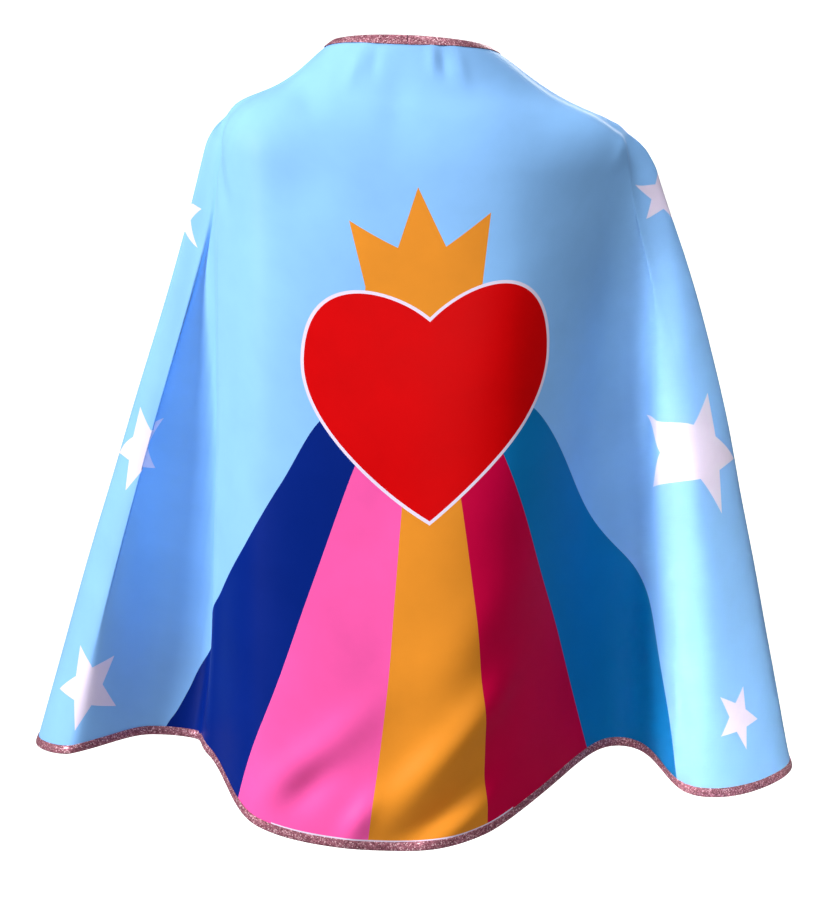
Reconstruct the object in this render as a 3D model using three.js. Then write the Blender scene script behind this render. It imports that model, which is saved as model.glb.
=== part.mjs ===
// A child's dress-up cape: one printed satin panel, folded-tape bindings on every edge,
// and a hook-and-loop closure at the front of the neck.
// Millimetres, +Z up. The wearer faces +Y, so the printed back faces -Y and +X is the
// wearer's right. The origin is the centre of the neck opening, level with the top of its binding.
// The cape is modelled as it hangs on the shoulders. The panel is one cloth: it is two nodes,
// yoke and skirt, because its hanging part swings about the line of the shoulders.
import * as THREE from 'three';

// Panel: neck opening, shoulders and hem
const neckWidth = 145;
const neckDepth = 116;
const neckEndBearing = 168;
const neckRoll = 3.5;
const leftShoulderReach = 179;
const rightShoulderReach = 212;
const leftShoulderDrop = 70;
const rightShoulderDrop = 91;
const shoulderDepth = 97;
const upperBackDrop = 22;
const shoulderRounding = 25;
const shoulderSag = 7;
const leftBow = 3;
const rightBow = 10;
const hemHalfWidth = 345;
const hemDepth = 150;
const backLength = 709;
const clothThickness = 1.0;
const swingGap = 5.0;

// Binding: tape folded over a cut edge
const bindingWidth = 10;
const tapeThickness = 0.5;
const tapeGap = 0.5;
const joinGap = 0.3;

// Neck closure
const tabLength = 46;
const tabHeight = 22;
const underlapReach = 18;
const tabStep = 7;
const tabRoot = 6;
const tabThickness = 1.5;
const tabCorner = 5;
const patchLength = 30;
const patchHeight = 16;
const patchThickness = 1.0;
const patchCorner = 2;
const closureTop = 3;
const closureStandOff = 3;
const layerGap = 0.3;

// Mesh steps
const columnsPerStation = 8;
const yokeRows = 7;
const skirtRows = 12;
const strapSteps = 14;
const cornerSteps = 4;

const satinBlue = new THREE.MeshStandardMaterial({ color: 0x8ec8ff, roughness: 0.42, metalness: 0 });
const glitterTape = new THREE.MeshStandardMaterial({ color: 0xc88088, roughness: 0.45, metalness: 0.3 });
const hookGrey = new THREE.MeshStandardMaterial({ color: 0xe6e6ea, roughness: 0.8, metalness: 0 });
const loopWhite = new THREE.MeshStandardMaterial({ color: 0xf2f2f4, roughness: 0.95, metalness: 0 });

// Stations run round the cape from the left front edge, over the back, to the right front edge.
// bearing: degrees round the neck from the middle of the back.
// reach, depth: place on the shoulder line, as shares of the shoulder reach and depth.
// hemReach, hemDepth: place on the hem, as shares of its half width and depth; back is negative.
// lift: height of the hem there above its lowest point.
const stations = [
  { bearing: -neckEndBearing, reach: -0.45, depth: 0.68, hemReach: -0.76, hemDepth: 0.62, lift: 100 },
  { bearing: -95, reach: -1.0, depth: 0.04, hemReach: -0.985, hemDepth: 0.03, lift: 77 },
  { bearing: -78, reach: -0.98, depth: -0.2, hemReach: -0.885, hemDepth: -0.45, lift: 71 },
  { bearing: -64, reach: -0.93, depth: -0.48, hemReach: -0.67, hemDepth: -0.2, lift: 82 },
  { bearing: -52, reach: -0.86, depth: -0.7, hemReach: -0.52, hemDepth: -0.43, lift: 68 },
  { bearing: -38, reach: -0.66, depth: -0.9, hemReach: -0.385, hemDepth: -0.93, lift: 18 },
  { bearing: -10, reach: -0.17, depth: -1.0, hemReach: -0.09, hemDepth: -1.06, lift: 0 },
  { bearing: 20, reach: 0.42, depth: -0.97, hemReach: 0.18, hemDepth: -1.0, lift: 12 },
  { bearing: 55, reach: 0.88, depth: -0.5, hemReach: 0.52, hemDepth: -0.28, lift: 74 },
  { bearing: 72, reach: 0.96, depth: -0.24, hemReach: 0.74, hemDepth: -0.72, lift: 38 },
  { bearing: 95, reach: 1.0, depth: 0.04, hemReach: 1.0, hemDepth: -0.05, lift: 54 },
  { bearing: neckEndBearing, reach: 0.45, depth: 0.68, hemReach: 0.76, hemDepth: 0.62, lift: 96 },
];
const lastStation = stations.length - 1;
const backJoin = 6.25;

const tapeReach = tapeThickness + tapeGap;

function shoulderPoint({ reach, depth }) {
  const side = (reach + 1) / 2;
  const drop = THREE.MathUtils.lerp(leftShoulderDrop, rightShoulderDrop, side);
  const away = Math.abs(depth);
  return new THREE.Vector3(
    reach * (reach < 0 ? leftShoulderReach : rightShoulderReach),
    depth * shoulderDepth,
    -drop - upperBackDrop * away * away,
  );
}

function hemPoint({ hemReach, hemDepth: depth, lift }) {
  return new THREE.Vector3(hemReach * hemHalfWidth, depth * hemDepth, lift - backLength + tapeReach);
}

function splineThrough(points) {
  return new THREE.CatmullRomCurve3(points, false, 'catmullrom', 0.5);
}

const bearingLine = splineThrough(stations.map(({ bearing }) => new THREE.Vector3(bearing, 0, 0)));
const shoulderLine = splineThrough(stations.map(shoulderPoint));
const hemLine = splineThrough(stations.map(hemPoint));

function neckPoint(station) {
  const turn = THREE.MathUtils.degToRad(bearingLine.getPoint(station / lastStation).x);
  return new THREE.Vector3(
    (neckWidth / 2) * Math.sin(turn),
    (-neckDepth / 2) * Math.cos(turn),
    -neckRoll * Math.sin(turn) - tapeReach,
  );
}

// One rib of the panel: neck, shoulder and hem points, and the two legs between them.
// The lower leg bows outward between shoulder and hem.
function ribAt(station) {
  const shoulder = shoulderLine.getPoint(station / lastStation);
  const up = neckPoint(station).sub(shoulder);
  const down = hemLine.getPoint(station / lastStation).sub(shoulder);
  const out = new THREE.Vector3(shoulder.x, shoulder.y, 0).normalize();
  const side = (1 + out.x) / 2;
  return {
    shoulder,
    upLength: up.length(),
    downLength: down.length(),
    up: up.normalize(),
    down: down.normalize(),
    bow: out.multiplyScalar(THREE.MathUtils.lerp(leftBow, rightBow, side)),
  };
}

// The rib's point at a distance from the shoulder: negative towards the neck, positive towards the hem.
// The corner at the shoulder is a parabola that touches both legs, and the upper leg sags a little.
function pointOnRib(rib, distance) {
  const round = shoulderRounding;
  if (distance <= -round) {
    const aboveCorner = (-distance - round) / (rib.upLength - round);
    const sag = new THREE.Vector3(0, 0, -shoulderSag * Math.sin(Math.PI * aboveCorner) ** 2);
    return rib.shoulder.clone().addScaledVector(rib.up, -distance).add(sag);
  }
  const belowCorner = (distance + round) / (rib.downLength + round);
  const point = rib.shoulder.clone().addScaledVector(rib.bow, Math.sin(Math.PI * belowCorner) ** 2);
  if (distance >= round) return point.addScaledVector(rib.down, distance);
  const share = (distance + round) / (2 * round);
  return point
    .addScaledVector(rib.up, round * (1 - share) ** 2)
    .addScaledVector(rib.down, round * share ** 2);
}

// The share of a rib is -1 at the neck edge, 0 at the shoulder and 1 at the hem.
function panelPoint(station, share, offset = 0) {
  const rib = ribAt(station);
  const length = share < 0 ? rib.upLength : rib.downLength;
  return pointOnRib(rib, share * length + offset);
}

// The outward normal: across the run of the panel and along the rib.
function panelNormal(station, share, offset = 0) {
  const stepAcross = 0.02;
  const stepAlong = 2;
  const before = panelPoint(Math.max(station - stepAcross, 0), share, offset);
  const after = panelPoint(Math.min(station + stepAcross, lastStation), share, offset);
  const above = panelPoint(station, share, offset - stepAlong);
  const below = panelPoint(station, share, offset + stepAlong);
  return after.sub(before).cross(above.sub(below)).normalize();
}

function spread(from, to, steps) {
  return Array.from({ length: steps + 1 }, (_, step) => THREE.MathUtils.lerp(from, to, step / steps));
}

// A closed solid through sections that are bent ribbons: in each section, point k lies across
// the ribbon's thickness from point (last - k), so both ends close with a strip.
function ribbonSolid(sections) {
  const count = sections[0].length;
  const positions = sections.flat().flatMap((point) => [point.x, point.y, point.z]);
  const index = [];
  for (let row = 0; row < sections.length - 1; row += 1) {
    for (let k = 0; k < count; k += 1) {
      const here = row * count + k;
      const next = row * count + ((k + 1) % count);
      index.push(here, next, here + count, next, next + count, here + count);
    }
  }
  const lastRow = (sections.length - 1) * count;
  for (let k = 0; k < count / 2 - 1; k += 1) {
    const across = count - 1 - k;
    index.push(k, across, k + 1, k + 1, across, across - 1);
    index.push(lastRow + k, lastRow + k + 1, lastRow + across);
    index.push(lastRow + k + 1, lastRow + across - 1, lastRow + across);
  }
  const geometry = new THREE.BufferGeometry();
  geometry.setAttribute('position', new THREE.Float32BufferAttribute(positions, 3));
  geometry.setIndex(index);
  geometry.computeVertexNormals();
  return geometry;
}

// Cloth between two places on every rib, each a share of the rib and an offset along it.
function clothSolid(places) {
  const sections = spread(0, lastStation, lastStation * columnsPerStation).map((station) => {
    const outer = [];
    const inner = [];
    for (const { share, offset } of places) {
      const point = panelPoint(station, share, offset);
      const half = panelNormal(station, share, offset).multiplyScalar(clothThickness / 2);
      outer.push(point.clone().add(half));
      inner.unshift(point.clone().sub(half));
    }
    return outer.concat(inner);
  });
  return ribbonSolid(sections);
}

// The folded tape's section at an edge point: web just past the edge, one leg on each face.
function tapeSection(edge, inward, normal) {
  const legEnd = bindingWidth - tapeReach;
  const outerFace = clothThickness / 2 + tapeReach;
  const innerFace = clothThickness / 2 + tapeGap;
  const corners = [
    [legEnd, outerFace],
    [-tapeReach, outerFace],
    [-tapeReach, -outerFace],
    [legEnd, -outerFace],
    [legEnd, -innerFace],
    [-tapeGap, -innerFace],
    [-tapeGap, innerFace],
    [legEnd, innerFace],
  ];
  return corners.map(([along, out]) => (
    edge.clone().addScaledVector(inward, along).addScaledVector(normal, out)
  ));
}

// Tape along the neck (share -1) or the hem (share 1), from one station to another.
function rimTape(share, from, to) {
  const steps = Math.round((to - from) * columnsPerStation);
  const sections = spread(from, to, steps).map((station) => {
    const edge = panelPoint(station, share);
    const inward = panelPoint(station, share, -share * bindingWidth).sub(edge).normalize();
    return tapeSection(edge, inward, panelNormal(station, share));
  });
  return ribbonSolid(share < 0 ? sections.map((section) => section.slice().reverse()) : sections);
}

// Tape down a front edge, through places on the edge rib.
function frontTape(side, places) {
  const station = side < 0 ? 0 : lastStation;
  const neighbour = station - side / columnsPerStation;
  const sections = places.map(({ share, offset }) => {
    const edge = panelPoint(station, share, offset);
    const inward = panelPoint(neighbour, share, offset).sub(edge).normalize();
    return tapeSection(edge, inward, panelNormal(station, share, offset));
  });
  return ribbonSolid(side > 0 ? sections.map((section) => section.slice().reverse()) : sections);
}

// A strap of even thickness that stands on edge along a path in plan, with rounded ends.
function strapSolid(path, height, thickness, corner) {
  const length = path.getLength();
  const turns = spread(0, Math.PI / 2, cornerSteps);
  const rootEnd = turns.map((turn) => ({
    at: corner * (1 - Math.cos(turn)),
    half: height / 2 - corner * (1 - Math.sin(turn)),
  }));
  const middle = spread(corner, length - corner, strapSteps).slice(1, -1)
    .map((at) => ({ at, half: height / 2 }));
  const freeEnd = rootEnd.map(({ at, half }) => ({ at: length - at, half })).reverse();
  const sections = [...rootEnd, ...middle, ...freeEnd].map(({ at, half }) => {
    const point = path.getPointAt(at / length);
    const run = path.getTangentAt(at / length);
    const out = new THREE.Vector3(-run.y, run.x, 0).multiplyScalar(thickness / 2);
    const up = new THREE.Vector3(0, 0, half);
    return [
      point.clone().sub(out).add(up),
      point.clone().sub(out).sub(up),
      point.clone().add(out).sub(up),
      point.clone().add(out).add(up),
    ];
  });
  return ribbonSolid(sections);
}

const cape = new THREE.Group();

function addPiece(name, geometry, material, holder = cape) {
  const mesh = new THREE.Mesh(geometry, material.clone());
  mesh.name = name;
  holder.add(mesh);
}

const rowShares = (rows) => spread(0, 1, rows).map((part) => part * part);

const yokePlaces = [
  { share: -1, offset: 0 },
  { share: -1, offset: bindingWidth },
  ...rowShares(yokeRows).reverse().slice(1)
    .map((part) => ({ share: -part, offset: (-swingGap / 2) * (1 - part) })),
];
const skirtPlaces = [
  ...rowShares(skirtRows).slice(0, -1)
    .map((part) => ({ share: part, offset: (swingGap / 2) * (1 - part) })),
  { share: 1, offset: -bindingWidth },
  { share: 1, offset: 0 },
];

addPiece('cape_yoke', clothSolid(yokePlaces), satinBlue);
addPiece('cape_skirt', clothSolid(skirtPlaces), satinBlue);

const seamHalf = joinGap / neckWidth;
addPiece('neck_binding_left', rimTape(-1, 0, backJoin - seamHalf), glitterTape);
addPiece('neck_binding_right', rimTape(-1, backJoin + seamHalf, lastStation), glitterTape);
addPiece('hem_binding', rimTape(1, 0, lastStation), glitterTape);

const clearOfRim = bindingWidth - tapeReach + joinGap;
const yokeEdgePlaces = [{ share: -1, offset: clearOfRim }, ...yokePlaces.slice(2)];
const skirtEdgePlaces = [...skirtPlaces.slice(0, -2), { share: 1, offset: -clearOfRim }];
for (const [sideName, side] of [['left', -1], ['right', 1]]) {
  addPiece(`yoke_edge_binding_${sideName}`, frontTape(side, yokeEdgePlaces), glitterTape);
  addPiece(`front_edge_binding_${sideName}`, frontTape(side, skirtEdgePlaces), glitterTape);
}

// The closure's layers lie one over another in front of the neck: underlap, loop, hook, overlap.
// The overlap's root is sewn level with the underlap, and the strap steps out over the layers.
const closure = new THREE.Group();
closure.position.set(0, neckDepth / 2 + closureStandOff, -closureTop - tabHeight / 2);
cape.add(closure);
const underlapPlace = tabThickness / 2;
const loopPlace = tabThickness + layerGap + patchThickness / 2;
const hookPlace = loopPlace + patchThickness + layerGap;
const overlapPlace = hookPlace + patchThickness / 2 + layerGap + tabThickness / 2;
const underlapRoot = tabLength - underlapReach;
const overlapRoot = -underlapReach - tabStep - tabRoot;

const planPath = (...points) => splineThrough(points.map(([x, y]) => new THREE.Vector3(x, y, 0)));
const straightAcross = (from, to, place) => new THREE.LineCurve3(
  new THREE.Vector3(from, place, 0),
  new THREE.Vector3(to, place, 0),
);
const overlapPath = planPath(
  [overlapRoot, underlapPlace],
  [overlapRoot + tabRoot / 2, underlapPlace],
  [-underlapReach - tabStep / 2, (underlapPlace + overlapPlace) / 2],
  [-underlapReach, overlapPlace],
  [0, overlapPlace],
  [underlapReach, overlapPlace],
);
const underlapPath = straightAcross(-underlapReach, underlapRoot, underlapPlace);
const patchPath = (place) => straightAcross(-patchLength / 2, patchLength / 2, place);
const tabOn = (path) => strapSolid(path, tabHeight, tabThickness, tabCorner);
const patchOn = (path) => strapSolid(path, patchHeight, patchThickness, patchCorner);

addPiece('underlap_tab', tabOn(underlapPath), satinBlue, closure);
addPiece('loop_patch', patchOn(patchPath(loopPlace)), loopWhite, closure);
addPiece('hook_patch', patchOn(patchPath(hookPlace)), hookGrey, closure);
addPiece('overlap_tab', tabOn(overlapPath), satinBlue, closure);

export default cape;
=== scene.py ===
# %% [markdown]
# # A child's dress-up cape
# The real cape is one panel of printed satin, with a folded glitter tape over every cut
# edge and a hook-and-loop strap at the front of the neck. The imported CAD model is loaded as
# a fixed frame: every piece made here sits where its plain CAD solid sits. The neck and hem
# tapes, their stitches and the closure move with their solids; the panel and the front tapes
# stay fixed in place.

# %% Load the frame
import math

import bmesh
import bpy
import numpy as np
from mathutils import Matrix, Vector
from mathutils.geometry import delaunay_2d_cdt


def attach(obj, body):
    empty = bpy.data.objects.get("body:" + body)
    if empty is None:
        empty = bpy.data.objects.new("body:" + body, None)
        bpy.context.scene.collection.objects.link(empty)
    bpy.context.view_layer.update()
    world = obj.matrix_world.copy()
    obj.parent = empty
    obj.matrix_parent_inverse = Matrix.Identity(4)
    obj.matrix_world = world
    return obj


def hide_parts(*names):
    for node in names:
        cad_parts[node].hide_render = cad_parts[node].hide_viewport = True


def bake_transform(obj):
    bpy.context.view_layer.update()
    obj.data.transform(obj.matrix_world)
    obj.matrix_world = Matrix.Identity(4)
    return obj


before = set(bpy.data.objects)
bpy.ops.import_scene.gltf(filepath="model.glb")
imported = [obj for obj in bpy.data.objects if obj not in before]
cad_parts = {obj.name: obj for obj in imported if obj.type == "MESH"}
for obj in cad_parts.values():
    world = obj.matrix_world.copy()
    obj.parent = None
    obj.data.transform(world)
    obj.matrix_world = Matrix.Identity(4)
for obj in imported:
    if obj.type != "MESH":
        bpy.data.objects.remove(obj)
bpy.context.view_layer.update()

# %% [markdown]
# ## Camera
# The cape is seen from behind, level with the middle of the back. A long lens from 2.3 m
# keeps both sides in proportion, where a wide one would swell whatever is nearest.

# %% Camera
MM = 0.001


def add_camera(place, lens):
    data = bpy.data.cameras.new("back_view")
    data.lens = lens
    data.sensor_fit = "HORIZONTAL"
    data.sensor_width = 36.0
    camera = bpy.data.objects.new("back_view", data)
    camera.location = place
    camera.rotation_euler = (math.radians(90), 0, 0)
    bpy.context.scene.collection.objects.link(camera)
    bpy.context.scene.camera = camera
    return camera


CAMERA_PLACE = (5.7 * MM, -2.3, -367.5 * MM)
LENS = 108.5
camera = add_camera(CAMERA_PLACE, LENS)
print("camera at", tuple(round(x, 4) for x in camera.location))

# %% [markdown]
# ## Colour and nodes
# Paint, ink and screen colours are written as sRGB hex values, but a shader adds up light,
# which is linear. One function turns the first into the second. One more adds any node with
# its settings and links, so that each material below reads as a list of what it is made of,
# and a last one turns a cloudy noise into a gentle change of tone or gloss.

# %% Colour and node helpers


def linear(hex_colour):
    shares = [int(hex_colour[at:at + 2], 16) / 255 for at in (1, 3, 5)]
    turned = [c / 12.92 if c <= 0.04045 else ((c + 0.055) / 1.055) ** 2.4 for c in shares]
    return (*turned, 1.0)


def add_node(tree, kind, inputs=None, **settings):
    node = tree.nodes.new(kind)
    for name, value in settings.items():
        setattr(node, name, value)
    for name, value in (inputs or {}).items():
        if isinstance(value, bpy.types.NodeSocket):
            tree.links.new(value, node.inputs[name])
        else:
            node.inputs[name].default_value = value
    return node


def new_material(name):
    material = bpy.data.materials.new(name)
    material.use_nodes = True
    tree = material.node_tree
    tree.nodes.clear()
    return material, tree


def finish_material(tree, shader):
    add_node(tree, "ShaderNodeOutputMaterial", {"Surface": shader.outputs["BSDF"]})


def colour_steps(ramp, steps):
    elements = ramp.color_ramp.elements
    while len(elements) < len(steps):
        elements.new(0.5)
    for element, (at, hex_colour) in zip(elements, steps):
        element.position = at
        element.color = linear(hex_colour)


def spread(tree, noise, low, high):
    """Turns a noise, which stays mostly between 0.3 and 0.7, into a value from low to high."""
    return add_node(tree, "ShaderNodeMapRange", {
        "Value": noise.outputs["Fac"], "From Min": 0.3, "From Max": 0.7,
        "To Min": low, "To Max": high})


print("mid grey in linear light:", round(linear("#808080")[0], 3))

# %% [markdown]
# ## Floor, backdrop and light
# A photographer would stand the cape in front of a roll of white paper that curves up
# behind it, so that no horizon shows. The paper is modelled the same way: a plane whose
# back edge is extruded up in short turning steps. It lies low enough that the cape's
# shadow falls out of sight.

# %% Floor and backdrop
FLOOR = -1.05
SWEEP_START = 7.0
SWEEP_RADIUS = 2.0
SWEEP_STEPS = 12
WALL_TOP = 4.0


def deselect_all():
    bpy.ops.object.select_all(action="DESELECT")


def add_backdrop():
    deselect_all()
    bpy.ops.mesh.primitive_plane_add(size=20, location=(0, SWEEP_START - 10, FLOOR))
    paper = bpy.context.object
    paper.name = "paper_backdrop"
    bpy.ops.object.transform_apply(location=True, rotation=True, scale=True)
    bpy.ops.object.mode_set(mode="EDIT")
    bpy.ops.mesh.select_mode(type="EDGE")
    bpy.ops.mesh.select_all(action="DESELECT")
    mesh = bmesh.from_edit_mesh(paper.data)
    for edge in mesh.edges:
        edge.select = all(v.co.y > SWEEP_START - 1e-4 for v in edge.verts)
    bmesh.update_edit_mesh(paper.data)
    for step in range(SWEEP_STEPS):
        turn = math.pi / 2 * (step + 0.5) / SWEEP_STEPS
        run = SWEEP_RADIUS * math.pi / 2 / SWEEP_STEPS
        move = (0, run * math.cos(turn), run * math.sin(turn))
        bpy.ops.mesh.extrude_region_move(TRANSFORM_OT_translate={"value": move})
    bpy.ops.mesh.extrude_region_move(TRANSFORM_OT_translate={"value": (0, 0, WALL_TOP)})
    bpy.ops.mesh.select_all(action="SELECT")
    bpy.ops.mesh.normals_make_consistent(inside=False)
    bpy.ops.object.mode_set(mode="OBJECT")
    bpy.ops.object.shade_smooth()
    return paper


def backdrop_paper():
    # Matt white background paper: a rough diffuse surface with hardly any gloss.
    material, tree = new_material("white_background_paper")
    place = add_node(tree, "ShaderNodeTexCoord")
    grain = add_node(tree, "ShaderNodeTexNoise", {
        "Vector": place.outputs["Object"], "Scale": 3.0, "Detail": 3.0})
    tone = add_node(tree, "ShaderNodeValToRGB", {"Fac": grain.outputs["Fac"]})
    colour_steps(tone, [(0.0, "#adadad"), (1.0, "#b5b5b5")])
    seen = add_node(tree, "ShaderNodeLightPath")
    glow = add_node(tree, "ShaderNodeMath", {
        0: seen.outputs["Is Camera Ray"], 1: 1.2}, operation="MULTIPLY")
    shader = add_node(tree, "ShaderNodeBsdfPrincipled", {
        "Base Color": tone.outputs["Color"], "Roughness": 0.95,
        "Emission Color": linear("#ffffff"), "Emission Strength": glow.outputs["Value"]})
    shader.inputs["Specular IOR Level"].default_value = 0.1
    finish_material(tree, shader)
    return material


backdrop = add_backdrop()
backdrop.data.materials.append(backdrop_paper())
print("backdrop faces:", len(backdrop.data.polygons))

# %% [markdown]
# ## Lamps
# Satin is judged by how softly it takes the light. A large lamp far out on the left gives
# the broad highlight and throws the deep fold on that side into shade. A fill lamp behind
# the camera keeps the shadows open, a narrow strip lamp picks out the ridge on the right,
# and two more light the shoulders and the front.

# %% Lamps


def add_softbox(name, place, target, width, power, beam=180):
    data = bpy.data.lights.new(name, "AREA")
    data.shape = "SQUARE"
    data.size = width
    data.energy = power
    data.spread = math.radians(beam)
    lamp = bpy.data.objects.new(name, data)
    lamp.location = place
    aim = Vector(target) - Vector(place)
    lamp.rotation_euler = aim.to_track_quat("-Z", "Y").to_euler()
    bpy.context.scene.collection.objects.link(lamp)
    return lamp


def add_surround(strength):
    world = bpy.data.worlds.new("white_studio")
    world.use_nodes = True
    tree = world.node_tree
    seen = add_node(tree, "ShaderNodeLightPath")
    level = add_node(tree, "ShaderNodeMapRange", {
        "Value": seen.outputs["Is Camera Ray"], "To Min": strength, "To Max": 1.3})
    background = tree.nodes["Background"]
    background.inputs["Color"].default_value = linear("#f2f7ff")
    tree.links.new(level.outputs["Result"], background.inputs["Strength"])
    bpy.context.scene.world = world


MIDDLE = (0, 0, -0.36)
# name, place and target in metres, width in metres, power in watts
SOFTBOXES = [
    ("key_softbox", (-4.4, -2.3, 2.2), MIDDLE, 1.6, 350),
    ("fill_softbox", (0.2, -3.2, 1.3), MIDDLE, 1.6, 26),
    ("top_softbox", (0.4, -0.5, 1.9), (0, 0, -0.1), 1.2, 22),
    ("front_softbox", (0.9, 2.6, 1.3), MIDDLE, 1.6, 36),
]
SURROUND = 0.08

for name, place, target, width, power in SOFTBOXES:
    add_softbox(name, place, target, width, power)
strip = add_softbox("side_strip", (-0.75, -2.95, 0.5), (0.37, 0, -0.45), 0.1, 0.9, beam=5)
strip.data.shape = "RECTANGLE"
strip.data.size_y = 0.7
add_surround(SURROUND)
bpy.context.scene.view_settings.view_transform = "Standard"

# %% [markdown]
# ## The shape the cloth hangs in
# The cape hangs from the neck band, lies over the shoulders and falls to the hem in a few
# deep folds. A pattern maker would pin a row of straight ribs from neck to hem and let the
# cloth span them. The panel is worked out the same way, from the sizes that the CAD model
# was made from: a place on the cloth is a station round the cape and a share of its rib.

# %% Sizes of the drape, in millimetres
NECK_WIDTH = 145.0
NECK_DEPTH = 116.0
NECK_ROLL = 3.5
LEFT_REACH, RIGHT_REACH = 179.0, 212.0
LEFT_DROP, RIGHT_DROP = 70.0, 91.0
SHOULDER_DEPTH = 97.0
UPPER_BACK_DROP = 22.0
SHOULDER_ROUNDING = 25.0
SHOULDER_SAG = 7.0
LEFT_BOW, RIGHT_BOW = 3.0, 10.0
HEM_HALF_WIDTH = 345.0
HEM_DEPTH = 150.0
BACK_LENGTH = 709.0
TAPE_REACH = 1.0

# bearing round the neck in degrees, reach and depth on the shoulder line, reach and depth
# on the hem, and the hem's lift in millimetres, from the left front edge to the right one
STATIONS = np.array([
    (-168, -0.45, 0.68, -0.76, 0.62, 100),
    (-95, -1.0, 0.04, -0.985, 0.03, 77),
    (-78, -0.98, -0.2, -0.885, -0.45, 71),
    (-64, -0.93, -0.48, -0.67, -0.2, 82),
    (-52, -0.86, -0.7, -0.52, -0.43, 68),
    (-38, -0.66, -0.9, -0.385, -0.93, 18),
    (-10, -0.17, -1.0, -0.09, -1.06, 0),
    (20, 0.42, -0.97, 0.18, -1.0, 12),
    (55, 0.88, -0.5, 0.52, -0.28, 74),
    (72, 0.96, -0.24, 0.74, -0.72, 38),
    (95, 1.0, 0.04, 1.0, -0.05, 54),
    (168, 0.45, 0.68, 0.76, 0.62, 96),
])
LAST = len(STATIONS) - 1
BACK_JOIN = 6.25
print("ribs pinned:", len(STATIONS))

# %% [markdown]
# A spline through the pinned ribs gives every rib between them. Each rib has an upper leg
# to the neck and a lower leg to the hem, with a rounded corner where it turns over the
# shoulder, a slight sag above it and a slight outward bow below it.

# %% Drape functions


def spline(values, station):
    ends = (2 * values[:1] - values[1:2], values, 2 * values[-1:] - values[-2:-1])
    knots = np.concatenate(ends)
    at = np.clip(np.floor(station).astype(int), 0, len(values) - 2)
    part = (station - at)[..., None]
    before, here, there, after = (knots[at + step] for step in range(4))
    leave, arrive = (there - before) / 2, (after - here) / 2
    square = 3 * (there - here) - 2 * leave - arrive
    cube = 2 * (here - there) + leave + arrive
    return here + leave * part + square * part**2 + cube * part**3


def shoulder_points():
    reach, depth = STATIONS[:, 1], STATIONS[:, 2]
    across = reach * np.where(reach < 0, LEFT_REACH, RIGHT_REACH)
    drop = LEFT_DROP + (RIGHT_DROP - LEFT_DROP) * (reach + 1) / 2
    return np.stack([across, depth * SHOULDER_DEPTH, -drop - UPPER_BACK_DROP * depth**2], 1)


def hem_points():
    reach, depth, lift = STATIONS[:, 3], STATIONS[:, 4], STATIONS[:, 5]
    height = lift - BACK_LENGTH + TAPE_REACH
    return np.stack([reach * HEM_HALF_WIDTH, depth * HEM_DEPTH, height], 1)


SHOULDER_KNOTS, HEM_KNOTS = shoulder_points(), hem_points()


def unit(vectors):
    return vectors / np.linalg.norm(vectors, axis=-1, keepdims=True)


def rib(station):
    turn = np.radians(spline(STATIONS[:, :1], station)[..., 0])
    neck = np.stack([
        NECK_WIDTH / 2 * np.sin(turn),
        -NECK_DEPTH / 2 * np.cos(turn),
        -NECK_ROLL * np.sin(turn) - TAPE_REACH,
    ], -1)
    shoulder = spline(SHOULDER_KNOTS, station)
    up, down = neck - shoulder, spline(HEM_KNOTS, station) - shoulder
    return shoulder, up, down


def drape(station, share, offset=0.0):
    shoulder, up, down = rib(station)
    up_length = np.linalg.norm(up, axis=-1)
    down_length = np.linalg.norm(down, axis=-1)
    up, down = unit(up), unit(down)
    distance = np.where(share < 0, share * up_length, share * down_length) + offset
    turned = np.clip((distance / SHOULDER_ROUNDING + 1) / 2, 0, 1)[..., None]
    outward = unit(shoulder * np.array([1.0, 1.0, 0.0]))
    bow = LEFT_BOW + (RIGHT_BOW - LEFT_BOW) * (1 + outward[..., :1]) / 2
    below = (distance + SHOULDER_ROUNDING) / (down_length + SHOULDER_ROUNDING)
    bowed = shoulder + outward * bow * np.sin(np.pi * np.clip(below, 0, 1))[..., None] ** 2
    above = np.clip((-distance - SHOULDER_ROUNDING) / (up_length - SHOULDER_ROUNDING), 0, 1)
    sag = np.zeros_like(shoulder)
    sag[..., 2] = -SHOULDER_SAG * np.sin(np.pi * above) ** 2
    along = distance[..., None]
    corner = bowed + SHOULDER_ROUNDING * (up * (1 - turned) ** 2 + down * turned**2)
    upper = shoulder - up * along + sag
    lower = bowed + down * along
    return np.where(turned <= 0, upper, np.where(turned >= 1, lower, corner))


print("neck edge at the back:", drape(np.array(BACK_JOIN), np.array(-1.0)).round(1))

# %% [markdown]
# ## Measuring the cloth
# A print is laid out on flat cloth, so each place also needs its two tape-measure numbers:
# how far it is across from the centre back, and how far down from the neck edge. They are
# added up along the drape once, on a fine grid, and read back in either direction.

# %% Tape-measure numbers
RULE_STATIONS = np.linspace(0, LAST, 441)
RULE_SHARES = np.linspace(-1, 1.25, 271)
# a search starts from the rule's line just below the shoulders and the one at the back
START_SHARE, START_STATION = 130, 250
SEARCH_ROUNDS = 25


def run_along(line):
    """Distance from the first point of a line to each of its points."""
    return np.concatenate([[0], np.cumsum(np.linalg.norm(np.diff(line, axis=0), axis=1))])


def measure_cloth():
    station, share = np.meshgrid(RULE_STATIONS, RULE_SHARES, indexing="ij")
    place = drape(station, share)
    across = np.cumsum(np.linalg.norm(np.diff(place, axis=0, prepend=place[:1]), axis=2), 0)
    down = np.cumsum(np.linalg.norm(np.diff(place, axis=1, prepend=place[:, :1]), axis=2), 1)
    centre = np.argmin(abs(RULE_STATIONS - BACK_JOIN))
    return np.stack([across - across[centre], down], -1)


RULE = measure_cloth()
STATION_STEP = RULE_STATIONS[1]
SHARE_STEP = RULE_SHARES[1] - RULE_SHARES[0]


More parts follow.
